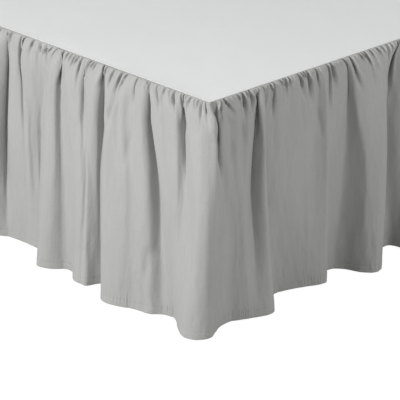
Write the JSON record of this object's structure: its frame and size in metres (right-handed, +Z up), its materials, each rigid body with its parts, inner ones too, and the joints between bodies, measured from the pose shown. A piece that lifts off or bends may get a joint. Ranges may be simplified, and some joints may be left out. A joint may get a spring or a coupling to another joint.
{
  "type": "bed skirt on a bed base",
  "caption": "Gathered bed skirt with a flat deck and floor-length ruffles along both sides and the foot, on a box spring over a low timber base.",
  "frame": {"origin": "middle of the whole object's footprint, at floor level", "axes": "+Z up; +Y from the foot of the bed to its open head end; +X to the right seen from the foot"},
  "size_m": [1.102, 1.9668, 0.387],
  "materials": {
    "skirt_cloth": "plain woven light grey cloth, matt, lightly creased",
    "deck_cloth": "plain woven white cloth, matt",
    "ticking": "off-white woven ticking, matt",
    "timber": "clear-finished softwood, satin"
  },
  "bodies": {
    "root": {"deck": "deck_cloth", "ruffle_foot": "skirt_cloth", "ruffle_left": "skirt_cloth", "ruffle_right": "skirt_cloth", "box_spring": "ticking", "rail_foot": "timber", "rail_head": "timber", "rail_left": "timber", "rail_right": "timber", "slat_1": "timber", "slat_2": "timber", "slat_3": "timber", "slat_4": "timber", "slat_5": "timber", "foot_left_1": "timber", "foot_left_2": "timber", "foot_left_3": "timber", "foot_right_1": "timber", "foot_right_2": "timber", "foot_right_3": "timber"}
  },
  "joints": []
}
